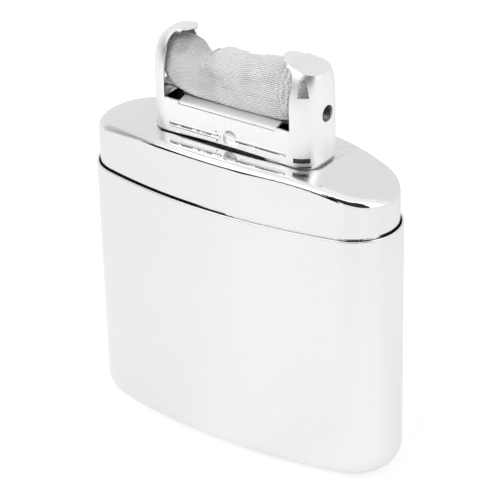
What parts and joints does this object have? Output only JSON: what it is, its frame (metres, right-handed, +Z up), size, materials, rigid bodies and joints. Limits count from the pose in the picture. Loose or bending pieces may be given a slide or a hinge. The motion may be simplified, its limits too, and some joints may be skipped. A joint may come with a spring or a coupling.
{
  "type": "catalytic hand warmer",
  "caption": "Slim oval pocket warmer: plated tank packed with cotton, a short grilled neck, and a lift-off burner head whose hooded ends hold a gauze-wrapped catalyst pad.",
  "frame": {"origin": "on the resting plane, under the middle of the tank", "axes": "+Z up along the height, +X across the width, -Y is the front broad face"},
  "size_m": [0.068, 0.0248, 0.0831],
  "materials": {
    "plated_shell": "polished nickel plate",
    "plated_neck": "polished nickel plate",
    "burner_steel": "bright stamped sheet",
    "grille_steel": "bare punched steel sheet",
    "solder": "dull solder",
    "cotton": "loose absorbent cotton",
    "felt": "pressed wool felt",
    "woven_gauze": "fine woven glass and metal gauze, crumpled",
    "catalyst_wool": "platinum-coated glass wool"
  },
  "bodies": {
    "tank": {"body_shell": "plated_shell", "shoulder_cap": "plated_shell", "seam_solder": "solder", "neck_sleeve": "plated_neck", "neck_grille": "grille_steel", "felt_pad": "felt", "cotton_front": "cotton", "cotton_middle": "cotton", "cotton_rear": "cotton"},
    "burner": {"burner_frame": "burner_steel", "mat_carrier": "grille_steel", "gauze_cover": "woven_gauze", "catalyst_wool_lower": "catalyst_wool", "catalyst_wool_upper": "catalyst_wool"}
  },
  "joints": [
    {"name": "burner_lift", "type": "slide", "parent": "tank", "child": "burner", "axis": [0, 0, 1], "range_m": [0, 0.02]}
  ]
}
